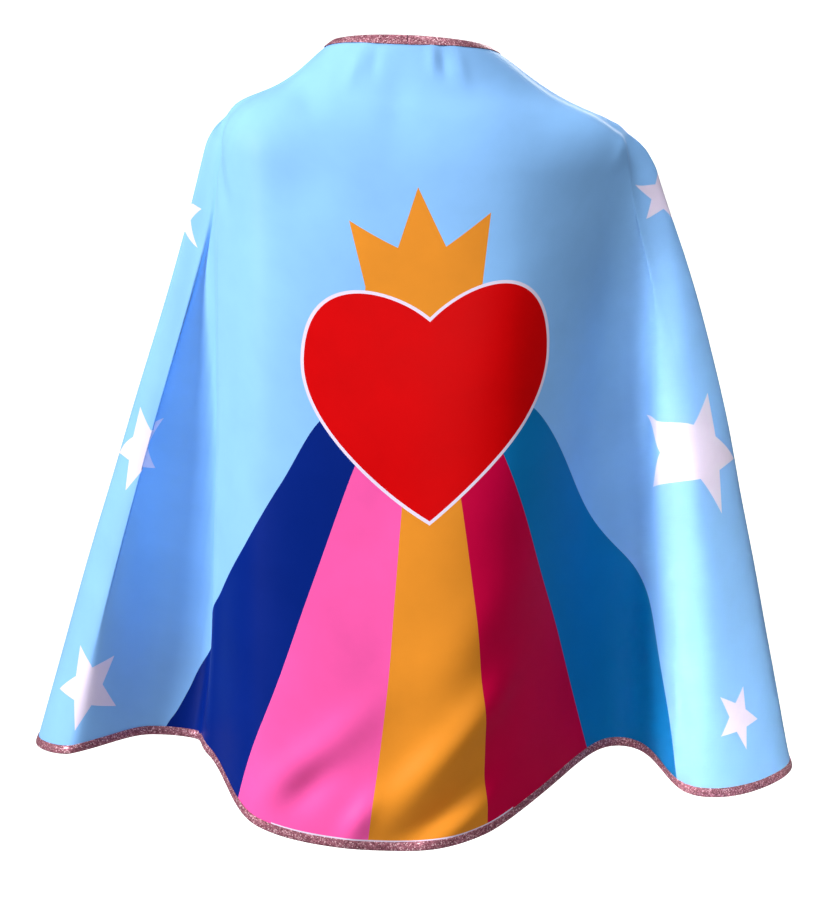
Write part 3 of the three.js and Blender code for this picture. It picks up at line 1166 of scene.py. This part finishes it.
def twisted_thread(name, pale, deep):
    material, tree = new_material(name)
    place = add_node(tree, "ShaderNodeTexCoord")
    twist = add_node(tree, "ShaderNodeTexWave", {
        "Vector": place.outputs["Object"], "Scale": WAVE_BANDS / (TWIST * MM),
        "Distortion": 1.0},
        bands_direction="DIAGONAL")
    # Colour follows the bump's height: painted shade in the twist's grooves, painted highlight
    # on its ridges.
    colour = add_node(tree, "ShaderNodeValToRGB", {"Fac": twist.outputs["Fac"]})
    colour_steps(colour, [(0.1, deep), (0.8, pale)])
    bump = add_node(tree, "ShaderNodeBump", {
        "Height": twist.outputs["Fac"], "Strength": 0.3, "Distance": 0.0001})
    shader = add_node(tree, "ShaderNodeBsdfPrincipled", {
        "Base Color": colour.outputs["Color"], "Roughness": 0.5,
        "Normal": bump.outputs["Normal"]})
    finish_material(tree, shader)
    return material


rose_thread = twisted_thread("rose_polyester_thread", "#d796a0", "#a9626e")


def sew(name, places, along, up, thread):
    """Copies the stitch to each place, its length along the seam and its crown up."""
    side = unit(np.cross(up, along))
    along = unit(np.cross(side, up))
    spun = (STITCH_POINTS[None, :, :1] * along[:, None]
            + STITCH_POINTS[None, :, 1:2] * side[:, None]
            + STITCH_POINTS[None, :, 2:] * up[:, None] + places[:, None])
    count = len(STITCH_POINTS)
    faces = [tuple(at + row * count for at in face)
             for row in range(len(places)) for face in STITCH_FACES]
    return build_mesh(name, spun.reshape(-1, 3), faces, np.zeros(len(faces)), [thread])


def sew_edge(name, edge, inward, normal, narrow):
    along = np.gradient(edge, axis=0)
    seam = edge + inward * SEAM_AT * narrow
    rise = normal * SEAM_HEIGHT
    places = np.concatenate([seam + rise, seam - rise])
    return sew(name, places, np.concatenate([along, along]),
               np.concatenate([normal, -normal]), rose_thread)


def rim_seam(name, share, start, end):
    station = even_stations(share, start, end, STITCH_PITCH)[1:-1]
    shares = np.full(len(station), float(share))
    parts = edge_frame(station, shares, 0.0, 0.0, -share * TAPE_WIDTH)
    return sew_edge(name, *parts, HEM_NARROW if share > 0 else 1.0)


def front_seam(name, side):
    station = 0.0 if side < 0 else float(LAST)
    start, end = front_offsets()[0 if side < 0 else 1]
    offset = np.arange(start + 2, end - 2, STITCH_PITCH)
    stations, shares = np.full(len(offset), station), np.zeros(len(offset))
    return sew_edge(name, *edge_frame(stations, shares, offset, -side / 8, 0.0), HEM_NARROW)


neck_seam_left = rim_seam("neck_stitches_left", -1, 0.02, BACK_JOIN - 0.03)
neck_seam_right = rim_seam("neck_stitches_right", -1, BACK_JOIN + 0.03, LAST - 0.02)
hem_seam = rim_seam("hem_stitches", 1, 0.02, LAST - 0.02)
front_seam_left = front_seam("front_stitches_left", -1)
front_seam_right = front_seam("front_stitches_right", 1)
print("stitches on the hem:", len(hem_seam.data.polygons) // len(STITCH_FACES))

# %% [markdown]
# The neck and hem tapes and their stitches move with the part of the cape that they are sewn
# to. The front tapes and their stitches stay fixed in place, like the panel.

# %% Binding: how it moves
for piece, node in ((neck_left, "neck_binding_left"), (neck_right, "neck_binding_right")):
    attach(piece, "yoke")
    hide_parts(node)
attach(neck_seam_left, "yoke")
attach(neck_seam_right, "yoke")
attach(hem_tape, "skirt")
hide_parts("hem_binding")
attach(hem_seam, "skirt")
for side, tape, seam in (("left", front_left, front_seam_left),
                         ("right", front_right, front_seam_right)):
    for piece in (tape, seam):
        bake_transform(piece)
    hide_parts("yoke_edge_binding_" + side, "front_edge_binding_" + side)
print("tapes and seams placed")

# %% [markdown]
# ## Neck closure
# The cape shuts in front of the throat with two tabs of doubled satin that lie one over
# the other, and a hook patch that presses onto a loop patch between them. Each tab starts
# as a block of the right size. Its corners are rounded by bevelling the upright edges, its
# face is inset and pressed in a little where the edge stitching holds the layers together.

# %% Tabs
TAB_HEIGHT = 22.0
TAB_THICKNESS = 1.5
TAB_CORNER = 5.0
TAB_LEVEL = -14.0
UNDERLAP = (-18.0, 28.0)
OVERLAP = (-31.0, 18.0)
UNDERLAP_PLACE = 61.75
OVERLAP_PLACE = 66.15
TAB_STEP = 7.0
TAB_INSET = 2.4


def select_by(piece, kind, test):
    """Selects the vertices, edges or faces of a mesh in edit mode that pass a test."""
    mesh = bmesh.from_edit_mesh(piece.data)
    for item in getattr(mesh, kind):
        item.select_set(bool(test(item)))
    bmesh.update_edit_mesh(piece.data)


def add_block(name, centre, size):
    deselect_all()
    bpy.ops.mesh.primitive_cube_add(size=1, location=[c * MM for c in centre])
    block = bpy.context.object
    block.name = name
    block.scale = [s * MM for s in size]
    bpy.ops.object.transform_apply(location=True, rotation=True, scale=True)
    bpy.ops.object.mode_set(mode="EDIT")
    bpy.ops.mesh.select_mode(type="EDGE")
    bpy.ops.mesh.select_all(action="DESELECT")
    return block


def is_through_edge(edge):
    """True for an edge that runs straight through the thickness, at a corner."""
    run = edge.verts[1].co - edge.verts[0].co
    return abs(run.y) > 0.9 * run.length


def round_block(block, corner):
    select_by(block, "edges", is_through_edge)
    bpy.ops.mesh.bevel(offset=corner * MM, segments=6)
    bpy.ops.mesh.select_mode(type="FACE")
    select_by(block, "faces", lambda face: abs(face.normal.y) > 0.9)


def soften(piece, width, segments):
    bevel = piece.modifiers.new("soft_edge", "BEVEL")
    bevel.width = width * MM
    bevel.segments = segments
    bevel.limit_method = "ANGLE"
    bevel.angle_limit = math.radians(50)
    bpy.context.view_layer.objects.active = piece
    bpy.ops.object.modifier_apply(modifier=bevel.name)
    deselect_all()
    piece.select_set(True)
    bpy.ops.object.shade_smooth_by_angle(angle=math.radians(50))


def add_tab(name, reach, place):
    start, end = reach
    block = add_block(name, ((start + end) / 2, place, TAB_LEVEL),
                      (end - start, TAB_THICKNESS, TAB_HEIGHT))
    round_block(block, TAB_CORNER)
    bpy.ops.mesh.inset(thickness=TAB_INSET * 0.6 * MM, depth=0.0)
    bpy.ops.mesh.inset(thickness=TAB_INSET * 0.4 * MM, depth=-0.18 * MM)
    bpy.ops.mesh.inset(thickness=TAB_INSET * 0.5 * MM, depth=0.16 * MM)
    for cut_at in np.arange(start + 1.5, end - 1, 1.5):
        bpy.ops.mesh.select_all(action="SELECT")
        bpy.ops.mesh.bisect(plane_co=(cut_at * MM, 0, 0), plane_no=(1, 0, 0))
    bpy.ops.object.mode_set(mode="OBJECT")
    return block


def step_out(across):
    """How far the overlap tab has stepped out over the layers, from its root to its face."""
    part = np.clip((across - (UNDERLAP[0] - TAB_STEP)) / TAB_STEP, 0, 1)
    return (OVERLAP_PLACE - UNDERLAP_PLACE) * part * part * (3 - 2 * part)


underlap = add_tab("throat_tab_under", UNDERLAP, UNDERLAP_PLACE)
overlap = add_tab("throat_tab_over", OVERLAP, UNDERLAP_PLACE)
for vertex in overlap.data.vertices:
    vertex.co.y += step_out(vertex.co.x / MM) * MM
for tab in (underlap, overlap):
    soften(tab, 0.5, 3)
print("tab faces:", len(underlap.data.polygons), len(overlap.data.polygons))

# %% [markdown]
# The tabs are cut from the plain blue edge of the same satin. They have no print
# coordinates, so the weave follows the object's own axes, and a line of blue thread runs
# round inside each edge.

# %% Tab satin and edge stitching


def plain_satin():
    material, tree = new_material("plain_sky_satin")
    place = add_node(tree, "ShaderNodeTexCoord")
    thread = add_node(tree, "ShaderNodeTexWave", {
        "Vector": place.outputs["Object"], "Scale": WAVE_BANDS / (WEAVE * MM),
        "Distortion": 0.4},
        bands_direction="X")
    cloud = add_node(tree, "ShaderNodeTexNoise", {
        "Vector": place.outputs["Object"], "Scale": 60.0, "Detail": 3.0})
    depth = spread(tree, cloud, 0.94, 1.05)
    tint = add_node(tree, "ShaderNodeHueSaturation", {
        "Color": linear(DYES["sky_blue"]), "Value": depth.outputs["Result"]})
    bump = add_node(tree, "ShaderNodeBump", {
        "Height": thread.outputs["Fac"], "Strength": 0.15, "Distance": 0.0001})
    shader = add_node(tree, "ShaderNodeBsdfPrincipled", {
        "Base Color": tint.outputs["Color"], "Roughness": 0.42,
        "Normal": bump.outputs["Normal"]})
    shader.inputs["Sheen Weight"].default_value = 0.12
    finish_material(tree, shader)
    return material


blue_thread = twisted_thread("blue_polyester_thread", "#8fc4f2", "#5b95cc")
tab_satin = plain_satin()


def rounded_track(start, end, inset):
    """Points and directions round a tab, inside its edge, at every stitch."""
    half = TAB_HEIGHT / 2 - inset
    radius = TAB_CORNER - inset
    corners = []
    for x, z, first in ((end - inset, half, 0), (start + inset, half, 90),
                        (start + inset, -half, 180), (end - inset, -half, 270)):
        centre = np.array([x - math.copysign(radius, x - (start + end) / 2),
                           z - math.copysign(radius, z)])
        turn = np.radians(first + np.linspace(0, 90, 9))
        corners.append(centre + radius * np.stack([np.cos(turn), np.sin(turn)], 1))
    line = np.concatenate(corners + [corners[0][:1]])
    return even_steps(line, 2.8)[:-1]


def sew_tab(name, reach, place, face, stepped):
    track = rounded_track(*reach, TAB_INSET)
    rise = step_out(track[:, 0]) if stepped else np.zeros(len(track))
    out = place + rise + face * (TAB_THICKNESS / 2 - 0.06)
    places = np.stack([track[:, 0], out, track[:, 1] + TAB_LEVEL], 1)
    along = np.roll(places, -1, axis=0) - np.roll(places, 1, axis=0)
    fine = np.linspace(-40, 20, 601)
    slope = np.gradient(step_out(fine), 0.1)
    lean = np.interp(track[:, 0], fine, slope) if stepped else 0 * rise
    up = unit(np.stack([-lean, np.ones(len(track)), np.zeros(len(track))], 1)) * face
    return sew(name, places, along, up, blue_thread)


over_stitches = sew_tab("throat_stitches_over", OVERLAP, UNDERLAP_PLACE, 1, True)
under_stitches = sew_tab("throat_stitches_under", UNDERLAP, UNDERLAP_PLACE, -1, False)
for tab in (underlap, overlap):
    tab.data.materials.clear()
    tab.data.materials.append(tab_satin)
print("stitches round a tab:", len(over_stitches.data.polygons) // len(STITCH_FACES))

# %% [markdown]
# ## Hook and loop
# The hook patch is a nylon strip set with rows of small stiff hooks, and the loop patch is
# a fuzzy brushed pile. Each patch is a rounded block with a flat woven border and a raised
# middle. Single hooks and hairs are about 0.3 mm across, too small to show at any useful
# distance, so a fine bump stands for both. The colour follows the bump's height and is greyer
# in its low places: painted shade in the pile.

# %% Patches
PATCH = (30.0, 1.0, 16.0)
PATCH_CORNER = 2.0
LOOP_PLACE = 63.3
HOOK_PLACE = 64.6


def add_patch(name, place, rise):
    block = add_block(name, (0, place, TAB_LEVEL), PATCH)
    round_block(block, PATCH_CORNER)
    bpy.ops.mesh.inset(thickness=1.2 * MM, depth=-0.12 * MM)
    select_by(block, "faces", lambda face: face.normal.y * rise > 0.9
              and face.calc_area() > 200e-6)
    bpy.ops.mesh.inset(thickness=0.3 * MM, depth=0.1 * MM)
    bpy.ops.object.mode_set(mode="OBJECT")
    soften(block, 0.12, 2)
    return block


def nylon(name, pale, deep, size, rough, depth):
    material, tree = new_material(name)
    place = add_node(tree, "ShaderNodeTexCoord")
    pile = add_node(tree, "ShaderNodeTexVoronoi", {
        "Vector": place.outputs["Object"], "Scale": 1 / (size * MM)})
    fuzz = add_node(tree, "ShaderNodeTexNoise", {
        "Vector": place.outputs["Object"], "Scale": 1 / (size * MM), "Detail": 5.0})
    both = add_node(tree, "ShaderNodeMath", {
        0: pile.outputs["Distance"], 1: fuzz.outputs["Fac"]}, operation="MULTIPLY")
    # Colour follows the bump's height, greyer in the low places: painted shade in the pile.
    colour = add_node(tree, "ShaderNodeValToRGB", {"Fac": both.outputs["Value"]})
    colour_steps(colour, [(0.05, deep), (0.45, pale)])
    bump = add_node(tree, "ShaderNodeBump", {
        "Height": both.outputs["Value"], "Strength": 0.8, "Distance": depth * MM})
    shader = add_node(tree, "ShaderNodeBsdfPrincipled", {
        "Base Color": colour.outputs["Color"], "Roughness": rough,
        "Normal": bump.outputs["Normal"]})
    finish_material(tree, shader)
    return material


loop_patch = add_patch("loop_pile_patch", LOOP_PLACE, 1)
hook_patch = add_patch("hook_strip_patch", HOOK_PLACE, -1)
loop_nylon = nylon("nylon_loop_pile", "#f6f6f8", "#d9dade", 0.5, 0.95, 0.2)
hook_nylon = nylon("nylon_hook_strip", "#eceef2", "#c9ccd4", 0.7, 0.5, 0.1)
for patch, finish in ((loop_patch, loop_nylon), (hook_patch, hook_nylon)):
    patch.data.materials.clear()
    patch.data.materials.append(finish)
print("patch faces:", len(loop_patch.data.polygons), len(hook_patch.data.polygons))

# %% Closure: how it moves
for piece, body in ((underlap, "yoke"), (under_stitches, "yoke"), (loop_patch, "yoke"),
                    (overlap, "closure"), (over_stitches, "closure"), (hook_patch, "closure")):
    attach(piece, body)
for piece, node, finish in ((underlap, "underlap_tab", "plain_satin"),
                            (overlap, "overlap_tab", "plain_satin"),
                            (loop_patch, "loop_patch", "loop_tape"),
                            (hook_patch, "hook_patch", "hook_tape")):
    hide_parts(node)
print("closure pieces placed")
